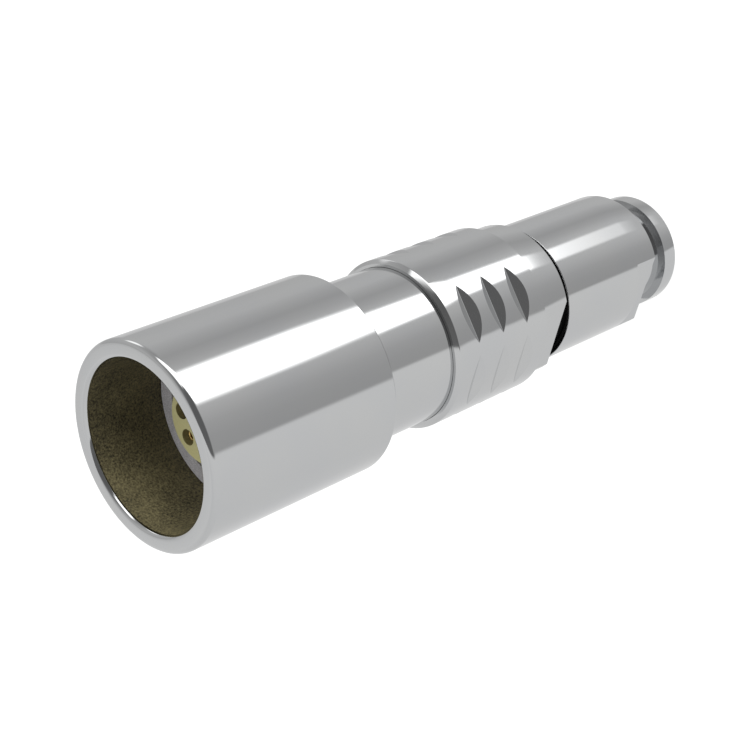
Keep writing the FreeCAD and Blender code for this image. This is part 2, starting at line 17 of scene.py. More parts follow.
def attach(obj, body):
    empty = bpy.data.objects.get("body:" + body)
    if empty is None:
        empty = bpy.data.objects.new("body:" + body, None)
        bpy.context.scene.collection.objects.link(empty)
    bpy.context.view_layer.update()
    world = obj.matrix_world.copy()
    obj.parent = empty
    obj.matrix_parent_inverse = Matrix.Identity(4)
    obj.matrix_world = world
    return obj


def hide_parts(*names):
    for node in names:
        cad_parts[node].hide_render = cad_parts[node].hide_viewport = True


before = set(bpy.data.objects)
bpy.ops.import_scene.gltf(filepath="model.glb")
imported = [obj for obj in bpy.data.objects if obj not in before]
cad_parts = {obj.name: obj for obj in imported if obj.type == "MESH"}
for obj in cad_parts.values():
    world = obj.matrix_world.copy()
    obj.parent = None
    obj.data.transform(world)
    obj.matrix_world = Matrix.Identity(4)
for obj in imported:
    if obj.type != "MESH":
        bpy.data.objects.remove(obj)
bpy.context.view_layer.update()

log = logging.getLogger("connector")

MM = 0.001

# Radius of the spring collar, which the nut's seal lies on, in millimetres
COLLAR_RADIUS = 4.17

# Facets of a turned piece, of a fine turned piece and of a rounded corner
STEPS = 256
FINE_STEPS = 360
ROUND_SEGMENTS = 6
EASE_SEGMENTS = 3
ARC_PROFILE = 0.5

# Tolerances of the mesh helpers, in metres
WELD = 1e-8
ON_PLANE = 1e-7

# How far past the end of a piece its wrench flats are looked for, in millimetres
FLAT_MARGIN = 0.5

# Values between which nearly all of a noise texture lies
NOISE_LOW = 0.3
NOISE_HIGH = 0.7

Color = tuple[float, float, float]
Point = tuple[float, float]
Corner = tuple[float, float] | tuple[float, float, float]
Socket = bpy.types.NodeSocket
FaceTest = Callable[[bmesh.types.BMFace], bool]


class Body(Enum):
    """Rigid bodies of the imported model."""

    SOCKET = "socket_body"
    SLEEVE = "release_sleeve"
    COLLET = "collet_group"
    NUT = "cable_nut"


class Slot(Enum):
    """Material slots of the pieces that are modelled here."""

    PLATED = "plated_brass"
    INSULATOR = "insulator_plastic"
    GOLD = "contact_gold"
    STEEL = "plain_steel"
    RUBBER = "black_rubber"


# Node helpers


class Nodes:
    """A node tree with short calls for making and joining nodes."""

    def __init__(self, tree: bpy.types.NodeTree) -> None:
        """Empty the tree.

        Args:
            tree: the node tree of a material or the world.
        """
        self.tree = tree
        tree.nodes.clear()

    def add(self, kind: str, inputs: dict | None = None, **settings: object) -> bpy.types.Node:
        """Make one node.

        Args:
            kind: the node's type, without the leading ShaderNode.
            inputs: socket name or number to a value or to another node's output.
            settings: attributes of the node itself.

        Returns:
            The new node.
        """
        node = self.tree.nodes.new("ShaderNode" + kind)
        for key, value in settings.items():
            setattr(node, key, value)
        for key, value in (inputs or {}).items():
            if isinstance(value, Socket):
                self.tree.links.new(value, node.inputs[key])
            else:
                node.inputs[key].default_value = value
        return node

    def math(self, operation: str, first: object, second: object = 0.0) -> Socket:
        """Output of a Math node.

        Args:
            operation: the name of the operation.
            first: number or socket.
            second: number or socket.

        Returns:
            The value socket.
        """
        return self.add("Math", {0: first, 1: second}, operation=operation).outputs[0]

    def blend(self, first: Socket, first_share: float, second: Socket,
              second_share: float) -> Socket:
        """Sum of two values, each times its share.

        Args:
            first: the first value.
            first_share: what the first value is multiplied by.
            second: the second value.
            second_share: what the second value is multiplied by.

        Returns:
            The value socket.
        """
        return self.math("ADD", self.math("MULTIPLY", first, first_share),
                         self.math("MULTIPLY", second, second_share))

    def mix(self, factor: Socket, first: object, second: object) -> Socket:
        """Colour that goes from the first to the second as the factor goes from 0 to 1.

        Args:
            factor: the socket that drives it.
            first: RGBA or socket.
            second: RGBA or socket.

        Returns:
            The colour socket.
        """
        return self.add("Mix", {0: factor, 6: first, 7: second}, data_type="RGBA").outputs[2]

    def ramp(self, factor: Socket, stops: Sequence[tuple[float, tuple]]) -> Socket:
        """Output of a colour ramp.

        Args:
            factor: the socket that drives it.
            stops: (position, RGBA) pairs in order.

        Returns:
            The colour socket.
        """
        node = self.add("ValToRGB", {0: factor})
        marks = node.color_ramp.elements
        while len(marks) < len(stops):
            marks.new(1.0)
        for mark, (place, color) in zip(marks, stops):
            mark.position = place
            mark.color = color
        return node.outputs[0]

    def ranged(self, value: Socket, source: Point, target: Point, smooth: bool = False) -> Socket:
        """Value mapped from one range to another, which stays at the ends outside the range.

        Args:
            value: the socket that drives it.
            source: where the result starts and stops changing.
            target: the results there.
            smooth: ease in and out.

        Returns:
            The value socket.
        """
        return self.add("MapRange", {
            "Value": value, "From Min": source[0], "From Max": source[1],
            "To Min": target[0], "To Max": target[1],
        }, interpolation_type="SMOOTHSTEP" if smooth else "LINEAR").outputs[0]

    def steps(self, value: Socket, source: Point, smooth: bool = True) -> Socket:
        """Value that goes from 0 to 1 over a range, and stays there."""
        return self.ranged(value, source, (0.0, 1.0), smooth)


def grey(level: float) -> tuple[float, float, float, float]:
    """RGBA of a neutral level."""
    return (level, level, level, 1.0)


def opaque(color: Color) -> tuple[float, float, float, float]:
    """RGBA of a colour."""
    return (*color, 1.0)


# Finishes


@dataclass(frozen=True)
class TurnedMetal:
    """Metal turned on a lathe: fine rings across the axis and faint patches of wear."""

    name: str
    color: Color
    roughness: float = 0.17
    spread: float = 0.05
    rings_per_mm: float = 14.0
    ring_stretch: float = 0.004
    ring_height: float = 0.02
    ring_depth: float = 0.01
    ring_share: float = 0.3
    patches_per_mm: float = 0.22
    patch_share: float = 0.7
    patch_range: Point = (0.25, 0.75)
    tint: Color = (0.97, 0.975, 0.99)

    def make(self) -> bpy.types.Material:
        """Build the material.

        Returns:
            The material.
        """
        material = bpy.data.materials.new(self.name)
        material.use_nodes = True
        nodes = Nodes(material.node_tree)
        place = nodes.add("TexCoord").outputs["Object"]
        along = self.rings_per_mm / MM
        scale = (along * self.ring_stretch, along * self.ring_stretch, along)
        rings = nodes.add("Mapping", {"Vector": place, "Scale": scale}).outputs[0]
        ring_noise = nodes.add("TexNoise", {"Vector": rings, "Scale": 1.0, "Detail": 2.0}).outputs[0]
        patches = nodes.add("TexNoise", {
            "Vector": place, "Scale": self.patches_per_mm / MM, "Detail": 4.0}).outputs[0]
        wear = nodes.blend(patches, self.patch_share, ring_noise, self.ring_share)
        rough = nodes.ranged(wear, (NOISE_LOW, NOISE_HIGH),
                             (self.roughness - self.spread, self.roughness + self.spread))
        tinted = tuple(a * b for a, b in zip(self.color, self.tint))
        color = nodes.ramp(nodes.steps(patches, self.patch_range),
                           [(0.0, opaque(tinted)), (1.0, opaque(self.color))])
        bump = nodes.add("Bump", {
            "Height": ring_noise, "Strength": self.ring_height, "Distance": self.ring_depth * MM})
        shader = nodes.add("BsdfPrincipled", {
            "Base Color": color, "Metallic": 1.0, "Roughness": rough, "Normal": bump.outputs[0]})
        nodes.add("OutputMaterial", {"Surface": shader.outputs[0]})
        return material


@dataclass(frozen=True)
class GrainyFinish:
    """Finish with a fine grain, for blasted metal, an oxide coat, moulded plastic or rubber."""

    name: str
    dark: Color
    light: Color
    metallic: float = 0.0
    roughness: float = 0.5
    spread: float = 0.06
    grain_per_mm: float = 14.0
    grain_height: float = 0.3
    grain_depth: float = 0.02
    grain_share: float = 0.75
    clouds_per_mm: float = 0.35
    cloud_share: float = 0.25
    contrast: float = 0.25
    specular: float = 0.5

    def make(self) -> bpy.types.Material:
        """Build the material.

        Returns:
            The material.
        """
        material = bpy.data.materials.new(self.name)
        material.use_nodes = True
        nodes = Nodes(material.node_tree)
        place = nodes.add("TexCoord").outputs["Object"]
        grain = nodes.add("TexNoise", {
            "Vector": place, "Scale": self.grain_per_mm / MM, "Detail": 3.0, "Roughness": 0.65,
        }).outputs[0]
        cloud = nodes.add("TexNoise", {
            "Vector": place, "Scale": self.clouds_per_mm / MM, "Detail": 3.0}).outputs[0]
        mixed = nodes.blend(grain, self.grain_share, cloud, self.cloud_share)
        middle = (0.5 - self.contrast / 2, 0.5 + self.contrast / 2)
        color = nodes.ramp(nodes.steps(mixed, middle, smooth=False),
                           [(0.0, opaque(self.dark)), (1.0, opaque(self.light))])
        rough = nodes.ranged(mixed, (NOISE_LOW, NOISE_HIGH),
                             (self.roughness - self.spread, self.roughness + self.spread))
        bump = nodes.add("Bump", {
            "Height": grain, "Strength": self.grain_height, "Distance": self.grain_depth * MM})
        shader = nodes.add("BsdfPrincipled", {
            "Base Color": color, "Metallic": self.metallic, "Roughness": rough,
            "Specular IOR Level": self.specular, "Normal": bump.outputs[0]})
        nodes.add("OutputMaterial", {"Surface": shader.outputs[0]})
        return material


class Finish(Enum):
    """Every finish on the connector."""

    PLATED = TurnedMetal("plated_satin", (0.62, 0.625, 0.625), roughness=0.08, spread=0.015)
    OXIDE = GrainyFinish("bore_oxide", (0.012, 0.011, 0.009), (0.23, 0.2, 0.105), metallic=0.5,
                         roughness=0.55, grain_per_mm=8.0, contrast=0.32)
    BLASTED = GrainyFinish("blasted_ring", (0.3, 0.295, 0.305), (0.68, 0.665, 0.69), roughness=0.6,
                           contrast=0.3)
    DULL = GrainyFinish("dull_metal", (0.58, 0.58, 0.58), (0.66, 0.66, 0.66), metallic=0.25,
                        roughness=0.45, grain_height=0.05)
    CREAM = GrainyFinish("cream_plastic", (0.45, 0.42, 0.205), (0.5, 0.47, 0.235), roughness=0.5,
                         grain_per_mm=8.0, grain_height=0.08)
    # The same cream plastic made darker: painted shade for the walls of the contact holes and for the
    # insulator deep inside
    CREAM_PAINTED_SHADE = GrainyFinish("cream_plastic_painted_shade", (0.20, 0.175, 0.075), (0.24, 0.21, 0.09),
                               roughness=0.55, grain_per_mm=8.0, grain_height=0.08)
    GOLD = TurnedMetal("gold_plate", (0.95, 0.68, 0.26), roughness=0.2, tint=(1.0, 0.96, 0.9))
    BRASS = TurnedMetal("turned_brass", (0.78, 0.6, 0.3), roughness=0.3, tint=(0.95, 0.93, 0.9))
    STEEL = TurnedMetal("plain_steel", (0.62, 0.62, 0.61), roughness=0.28)
    # Black rubber of the seal and the cable gasket; the collar's lower band wears it too, as painted
    # shade in the gap
    RUBBER = GrainyFinish("black_rubber", (0.006, 0.006, 0.006), (0.014, 0.014, 0.014),
                          roughness=0.6, grain_per_mm=10.0, grain_height=0.1, specular=0.05)


class Paints:
    """The materials, each made once."""

    def __init__(self) -> None:
        """Make every finish."""
        self.made = {finish: finish.value.make() for finish in Finish}

    def __getitem__(self, finish: Finish) -> bpy.types.Material:
        """Material of a finish."""
        return self.made[finish]


# Mesh helpers


def spin_full(mesh: bmesh.types.BMesh, steps: int) -> None:
    """Turn the mesh's outline once round Z and join its ends."""
    bmesh.ops.spin(mesh, geom=mesh.verts[:] + mesh.edges[:], cent=(0, 0, 0), axis=(0, 0, 1),
                   dvec=(0, 0, 0), angle=math.tau, steps=steps, use_merge=True, use_duplicate=False)


def turned(outline: Sequence[Corner], closed: bool = True, steps: int = STEPS
           ) -> bmesh.types.BMesh:
    """Solid of revolution about Z.

    Args:
        outline: corners of the section, in millimetres. Each is a radius, a height and,
            where the corner is rounded, the size of its rounding.
        closed: join the last corner to the first; otherwise both ends lie on the axis.
        steps: facets round the axis.

    Returns:
        The mesh.
    """
    mesh = bmesh.new()
    corners = [mesh.verts.new((radius * MM, 0.0, height * MM)) for radius, height, *_ in outline]
    pairs = list(zip(corners, corners[1:] + corners[:1]))
    for start, end in pairs if closed else pairs[:-1]:
        mesh.edges.new((start, end))
    for corner, (_, _, *rounding) in zip(corners, outline):
        for size in rounding:
            bmesh.ops.bevel(mesh, geom=[corner], offset=size * MM, offset_type="OFFSET",
                            affect="VERTICES", segments=ROUND_SEGMENTS, profile=ARC_PROFILE,
                            material=-1)
    spin_full(mesh, steps)
    bmesh.ops.remove_doubles(mesh, verts=mesh.verts[:], dist=WELD)
    bmesh.ops.recalc_face_normals(mesh, faces=mesh.faces[:])
    return mesh


def notch(mesh: bmesh.types.BMesh, apex: Vector, first: Vector, second: Vector,
          near: FaceTest, ease: float = 0.0) -> None:
    """Cut away what lies outside two planes, and close the cut with two flat faces.

    Args:
        mesh: the closed mesh to cut.
        apex: a point on the line where the planes meet, in metres.
        first: outward normal of the first plane.
        second: outward normal of the second plane.
        near: picks the faces that the cut may touch.
        ease: size of the rounding at the bottom of the cut, in millimetres.
    """
    for normal in (first, second):
        faces = [face for face in mesh.faces if near(face)]
        edges = {edge for face in faces for edge in face.edges}
        verts = {vert for face in faces for vert in face.verts}
        bmesh.ops.bisect_plane(mesh, geom=[*faces, *edges, *verts], dist=WELD, plane_co=apex,
                               plane_no=normal)
    waste = []
    for face in mesh.faces:
        middle = face.calc_center_median() - apex
        if near(face) and middle.dot(first) > 0 and middle.dot(second) > 0:
            waste.append(face)
    bmesh.ops.delete(mesh, geom=waste, context="FACES")
    rim = [edge for edge in mesh.edges if edge.is_boundary]

    def lies_on(vert: bmesh.types.BMVert, normal: Vector) -> bool:
        """True if the vertex lies on the plane."""
        return abs((vert.co - apex).dot(normal)) < ON_PLANE

    ends = {vert for edge in rim for vert in edge.verts
            if lies_on(vert, first) and lies_on(vert, second)}
    bottom = mesh.edges.new(tuple(ends))
    for normal in (first, second):
        side = [edge for edge in rim if all(lies_on(vert, normal) for vert in edge.verts)]
        bmesh.ops.contextual_create(mesh, geom=[*side, bottom])
    if ease:
        bmesh.ops.bevel(mesh, geom=[bottom], offset=ease * MM, offset_type="OFFSET", affect="EDGES",
                        segments=EASE_SEGMENTS, profile=ARC_PROFILE, clamp_overlap=True, material=-1)


def outer_faces(direction: Vector, inner: float, low: float, high: float) -> FaceTest:
    """Test for faces on one side, outside a radius and between two heights.

    Args:
        direction: horizontal unit vector of the side.
        inner: faces that reach no further out than this radius are left out, in millimetres.
        low: faces that end below this height are left out.
        high: faces that start above this height are left out.

    Returns:
        The test.
    """
    def test(face: bmesh.types.BMFace) -> bool:
        """Tell whether a face is on that side and in that band.

        Args:
            face: the face to test.

        Returns:
            True if it is.
        """
        reach = max(vert.co.xy.length for vert in face.verts)
        heights = [vert.co.z for vert in face.verts]
        facing = face.calc_center_median().dot(direction) > 0
        return facing and reach > inner * MM and max(heights) > low * MM and min(heights) < high * MM
    return test


def cut_flats(mesh: bmesh.types.BMesh, across: float, low: float, high: float) -> None:
    """Cut two wrench flats, square to X, that run out of the lower end of a piece.

    Args:
        mesh: the mesh to cut.
        across: distance between the flats.
        low: the piece's lower end.
        high: where the flats stop.
    """
    ledge = Vector((0, 0, -1))
    for side in (1, -1):
        direction = Vector((side, 0, 0))
        apex = Vector((side * across / 2 * MM, 0, high * MM))
        notch(mesh, apex, direction, ledge,
              outer_faces(direction, across / 2, low - FLAT_MARGIN, high))


def turn_by(degrees: float) -> Vector:
    """Horizontal unit vector at an angle from X towards Y."""
    return Vector((math.cos(math.radians(degrees)), math.sin(math.radians(degrees)), 0))


@dataclass(frozen=True)
class Ring:
    """Plain ring or tube about the axis, with its bore's two edges rounded."""

    bore: float
    radius: float
    low: float
    high: float
    ease: float

    def mesh(self) -> bmesh.types.BMesh:
        """Mesh of the ring."""
        return turned([(self.bore, self.low, self.ease), (self.radius, self.low),
                       (self.radius, self.high), (self.bore, self.high, self.ease)])


@dataclass
class Piece:
    """One finished object of the connector."""

    name: str
    body: Body
    slot: Slot
    nodes: Sequence[str]
    finishes: Sequence[Finish]

    def build(self, mesh: bmesh.types.BMesh, paints: Paints, sharp: float = 20.0) -> None:
        """Turn a mesh into an object that stands for its CAD nodes.

        Args:
            mesh: the finished mesh, which is freed.
            paints: the materials.
            sharp: edges steeper than this angle stay sharp, in degrees.
        """
        data = bpy.data.meshes.new(self.name)
        for finish in self.finishes:
            data.materials.append(paints[finish])
        mesh.to_mesh(data)
        mesh.free()
        data.shade_smooth()
        data.set_sharp_from_angle(angle=math.radians(sharp))
        item = bpy.data.objects.new(self.name, data)
        bpy.context.scene.collection.objects.link(item)
        even = item.modifiers.new("even_normals", "WEIGHTED_NORMAL")
        even.keep_sharp = True
        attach(item, self.body.value)
        if self.nodes:
            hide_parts(*self.nodes)
        log.info("%s: %d faces", self.name, len(data.polygons))


# The connector


@dataclass(frozen=True)
class Heights:
    """Places along the axis, above the cable end."""

    flange: float = 1.3
    nut_rear: float = 3.45
    nut_flat: float = 5.55
    nut_front: float = 13.25
    sleeve_rear: float = 13.95
    sleeve_flat: float = 16.1
    sleeve_step: float = 16.68
    sleeve_front: float = 25.2
    neck_shoulder: float = 24.2
    shell_rear: float = 31.4
    ring_rear: float = 38.3
    insulator_face: float = 41.12
    top: float = 45.3


@dataclass
class SocketShell:
    """Front shell, neck and threaded tail."""

    at: Heights
    radius: float = 6.35
    bore: float = 5.22
    bore_taper: float = 0.07
    taper_length: float = 2.87
    cavity: float = 4.75
    neck: float = 5.17
    web: float = 0.8
    tail: float = 3.45
    tail_bore: float = 2.9
    tail_end: float = 6.0
    tail_chamfer: float = 0.25
    chamfer_length: float = 1.0
    snap_groove: Point = (12.17, 12.57)
    snap_depth: float = 0.25
    inner_round: float = 0.31
    outer_round: float = 0.37
    neck_round: float = 0.04
    rear_round: float = 0.1
    oxide_end: float = 44.95
    oxide_margin: float = 0.005
    thread_root: float = 3.32
    thread_crest: float = 3.49
    thread_sink: float = 0.04
    crest_half: float = 0.05
    thread_pitch: float = 0.5
    thread_top: float = 12.0
    thread_runout: float = 0.1
    thread_steps: int = 96

    def build(self, paints: Paints) -> None:
        """Make the shell and its thread.

        Args:
            paints: the materials.
        """
        at = self.at
        web = at.neck_shoulder + self.web
        groove_low, groove_high = self.snap_groove
        outline = [
            (self.bore, at.top, self.inner_round), (self.bore, at.ring_rear + self.taper_length),
            (self.bore - self.bore_taper, at.ring_rear), (self.cavity, at.ring_rear),
            (self.cavity, web), (self.tail_bore, web),
            (self.tail_bore, self.tail_end + self.chamfer_length),
            (self.tail_bore + self.tail_chamfer, self.tail_end), (self.thread_root, self.tail_end),
            (self.thread_root, self.thread_top), (self.tail, self.thread_top + self.thread_runout),
            (self.tail, groove_low), (self.tail - self.snap_depth, groove_low),
            (self.tail - self.snap_depth, groove_high), (self.tail, groove_high),
            (self.tail, at.neck_shoulder), (self.neck, at.neck_shoulder),
            (self.neck, at.shell_rear, self.neck_round),
            (self.radius, at.shell_rear, self.rear_round), (self.radius, at.top, self.outer_round),
        ]
        mesh = turned(outline, steps=FINE_STEPS)
        for face in mesh.faces:
            middle = face.calc_center_median()
            inside = middle.xy.length < (self.bore + self.oxide_margin) * MM
            coated = self.oxide_end > middle.z / MM > at.shell_rear
            face.material_index = 1 if inside and coated else 0
        shell = Piece("shell_and_neck", Body.SOCKET, Slot.PLATED, ["socket_shell"],
                      [Finish.PLATED, Finish.OXIDE])
        shell.build(mesh, paints)
        thread = Piece("tail_thread", Body.SOCKET, Slot.PLATED, [], [Finish.PLATED])
        thread.build(self.thread(), paints)

    def thread(self) -> bmesh.types.BMesh:
        """Helical ridge on the tail.

        Returns:
            The mesh.
        """
        mesh = bmesh.new()
        half = self.thread_pitch / 2
        start = self.tail_end + half
        foot = self.thread_root - self.thread_sink
        corners = [(foot, start - half), (self.thread_crest, start - self.crest_half),
                   (self.thread_crest, start + self.crest_half), (foot, start + half)]
        ring = [mesh.verts.new((radius * MM, 0, height * MM)) for radius, height in corners]
        mesh.faces.new(ring)
        turns = (self.thread_top - start - half) / self.thread_pitch
        count = round(turns * self.thread_steps)
        bmesh.ops.spin(mesh, geom=mesh.faces[:], cent=(0, 0, 0), axis=(0, 0, 1),
                       dvec=(0, 0, self.thread_pitch / self.thread_steps * MM),
                       angle=math.tau * count / self.thread_steps, steps=count, use_merge=False,
                       use_duplicate=False)
        bmesh.ops.recalc_face_normals(mesh, faces=mesh.faces[:])
        return mesh


@dataclass
class ContactInsert:
    """Front insulator and the socket contacts in it."""

    at: Heights
    nose: float = 2.45
    flange: float = 4.1
    body: float = 3.84
    flange_depth: float = 3.82
    flange_length: float = 1.0
    length: float = 6.92
    rear_length: float = 6.0
    hole: float = 0.5
    hole_depth: float = 0.5
    contact: float = 0.42
    contact_gap: float = 0.03
    contact_bore: float = 0.28
    contact_recess: float = 0.36
    bore_depth: float = 4.0
    rim_round: float = 0.06
    collar: float = 0.54
    collar_length: float = 0.6
    cup_length: float = 1.5
    cup_depth: float = 1.0
    pitch: float = 1.6
    turn: float = 2.7
    count: int = 6
    nose_steps: int = 256
    hole_steps: int = 64
    contact_steps: int = 48
    face_margin: float = 0.001
    nose_margin: float = 0.01

    def spots(self) -> list[Vector]:
        """Centres of the contacts, from the middle out, in millimetres.

        Returns:
            The centres.
        """
        ring = [turn_by(self.turn + 360 / self.count * index) * self.pitch
                for index in range(self.count)]
        return [Vector((0, 0, 0)), *ring]

    def insulator(self) -> bmesh.types.BMesh:
        """Nose with a stepped hole for each contact, on a flanged body.

        Returns:
            The mesh.
        """
        mesh = bmesh.new()
        top = self.at.insulator_face

        def loop(centre: Vector, radius: float, segments: int) -> list[bmesh.types.BMEdge]:
            """Draw a circle of edges in the top face.

            Args:
                centre: its centre, in millimetres.
                radius: its radius, in millimetres.
                segments: its number of edges.

            Returns:
                The edges.
            """
            place = Matrix.Translation((centre + Vector((0, 0, top))) * MM)
            made = bmesh.ops.create_circle(mesh, segments=segments, radius=radius * MM,
                                           matrix=place, cap_ends=False)
            return list({edge for vert in made["verts"] for edge in vert.link_edges})

        def pull(edges: list[bmesh.types.BMEdge], drop: float, centre: Vector, ratio: float
                 ) -> list[bmesh.types.BMEdge]:
            """Extrude a loop, lower it and scale it about its centre.

            Args:
                edges: the loop.
                drop: how far it goes down, in millimetres.
                centre: the centre, in millimetres.
                ratio: the new radius as a share of the old one.

            Returns:
                The new loop.
            """
            made = bmesh.ops.extrude_edge_only(mesh, edges=edges)["geom"]
            verts = [item for item in made if isinstance(item, bmesh.types.BMVert)]
            bmesh.ops.translate(mesh, verts=verts, vec=(0, 0, -drop * MM))
            bmesh.ops.scale(mesh, vec=(ratio, ratio, 1), space=Matrix.Translation(centre * -MM),
                            verts=verts)
            return [item for item in made if isinstance(item, bmesh.types.BMEdge)
                    and all(vert in verts for vert in item.verts)]

        middle = Vector((0, 0, 0))
        rim = loop(middle, self.nose, self.nose_steps)
        holes = [loop(centre, self.hole, self.hole_steps) for centre in self.spots()]
        bmesh.ops.triangle_fill(mesh, use_beauty=True, edges=mesh.edges[:], normal=(0, 0, 1))
        rest = self.length - self.flange_depth - self.flange_length
        for drop, ratio in ((self.flange_depth, 1), (0, self.flange / self.nose),
                            (self.flange_length, 1), (0, self.body / self.flange), (rest, 1)):
            rim = pull(rim, drop, middle, ratio)
        bottoms = [rim]
        for centre, edges in zip(self.spots(), holes):
            for drop, ratio in ((self.hole_depth, 1),
                                (0, (self.contact + self.contact_gap) / self.hole),
                                (self.length - self.hole_depth, 1)):
                edges = pull(edges, drop, centre, ratio)
            bottoms.append(edges)
        bmesh.ops.triangle_fill(mesh, use_beauty=True, normal=(0, 0, -1),
                                edges=[edge for part in bottoms for edge in part])
        bmesh.ops.recalc_face_normals(mesh, faces=mesh.faces[:])
        # Faces below the front face and within the nose's radius, chiefly the walls of the contact
        # holes, get the darker cream: painted shade
        for face in mesh.faces:
            centre = face.calc_center_median()
            on_face = centre.z > (top - self.face_margin) * MM
            outside = centre.xy.length > (self.nose - self.nose_margin) * MM
            face.material_index = 0 if on_face or outside else 1
        return mesh

    def build(self, paints: Paints) -> None:
        """Make the insulator and its contacts.

        Args:
            paints: the materials.
        """
        face = Piece("insulator_face", Body.SOCKET, Slot.INSULATOR, ["front_insulator"],
                     [Finish.CREAM, Finish.CREAM_PAINTED_SHADE])
        face.build(self.insulator(), paints)
        front = self.at.insulator_face - self.contact_recess
        joint = self.at.insulator_face - self.length
        rear = joint - self.rear_length - self.cup_length
        outline = [
            (0.0, front - self.bore_depth), (self.contact_bore, front - self.bore_depth),
            (self.contact_bore, front, self.rim_round), (self.contact, front, self.rim_round),
            (self.contact, joint), (self.collar, joint), (self.collar, joint - self.collar_length),
            (self.contact, joint - self.collar_length), (self.contact, rear),
            (self.contact_bore, rear), (self.contact_bore, rear + self.cup_depth),
            (0.0, rear + self.cup_depth),
        ]
        for number, centre in enumerate(self.spots(), start=1):
            mesh = turned(outline, closed=False, steps=self.contact_steps)
            bmesh.ops.translate(mesh, verts=mesh.verts[:], vec=centre * MM)
            name = f"contact_{number:02d}"
            contact = Piece("gold_" + name, Body.SOCKET, Slot.GOLD, [name], [Finish.GOLD])
            contact.build(mesh, paints)


@dataclass
class ReleaseSleeve:
    """Sliding grip sleeve with chordal V grooves and wrench flats."""

    at: Heights
    radius: float = 5.62
    tail: float = 5.19
    bore: float = 4.25
    neck_fit: float = 5.19
    neck_flare: float = 0.04
    front_land: float = 0.19
    shoulder_gap: float = 0.03
    lip: float = 3.51
    lip_thickness: float = 1.2
    chamfer: float = 0.25
    step_length: float = 0.1
    rear_round: float = 0.03
    front_round: float = 0.04
    flats: float = 9.0
    groove_depth: float = 0.345
    groove_half_width: float = 0.69
    groove_ease: float = 0.03
    first_groove: float = 2.05
    groove_pitch: float = 2.29
    rows: int = 3
    groups: tuple = (0.0, 48.5, -48.5, 180.0, 228.5, 131.5)
    cut_margin: float = 0.1
    cut_reach: float = 0.45

    def build(self, paints: Paints) -> None:
        """Make the sleeve.

        Args:
            paints: the materials.
        """
        at = self.at
        lip_top = at.neck_shoulder - self.shoulder_gap
        lip_rear = lip_top - self.lip_thickness
        outline = [
            (self.neck_fit, at.sleeve_front), (self.neck_fit + self.neck_flare, lip_top),
            (self.lip, lip_top), (self.lip, lip_rear), (self.bore, lip_rear),
            (self.bore, at.sleeve_rear), (self.tail, at.sleeve_rear, self.rear_round),
            (self.tail, at.sleeve_step - self.step_length), (self.radius, at.sleeve_step),
            (self.radius, at.sleeve_front - self.chamfer, self.front_round),
            (self.neck_fit + self.front_land, at.sleeve_front),
        ]
        mesh = turned(outline, steps=FINE_STEPS)
        cut_flats(mesh, self.flats, at.sleeve_rear, at.sleeve_flat)
        for angle in self.groups:
            for row in range(self.rows):
                self.cut_groove(mesh, turn_by(angle), row)
        piece = Piece("grip_sleeve_body", Body.SLEEVE, Slot.PLATED, ["grip_sleeve"],
                      [Finish.PLATED])
        piece.build(mesh, paints)

    def cut_groove(self, mesh: bmesh.types.BMesh, out: Vector, row: int) -> None:
        """Cut one straight V groove across the side of the sleeve.

        Args:
            mesh: the sleeve's mesh.
            out: horizontal unit vector of the groove's side.
            row: number of the groove, from the front.
        """
        middle = self.at.sleeve_front - self.first_groove - row * self.groove_pitch
        apex = (out * (self.radius - self.groove_depth) + Vector((0, 0, middle))) * MM
        slope = self.groove_depth / self.groove_half_width
        walls = [(out + Vector((0, 0, side * slope))).normalized() for side in (1, -1)]
        reach = self.groove_half_width + self.cut_margin
        near = outer_faces(out, self.radius - self.cut_reach, middle - reach, middle + reach)
        notch(mesh, apex, *walls, near, ease=self.groove_ease)


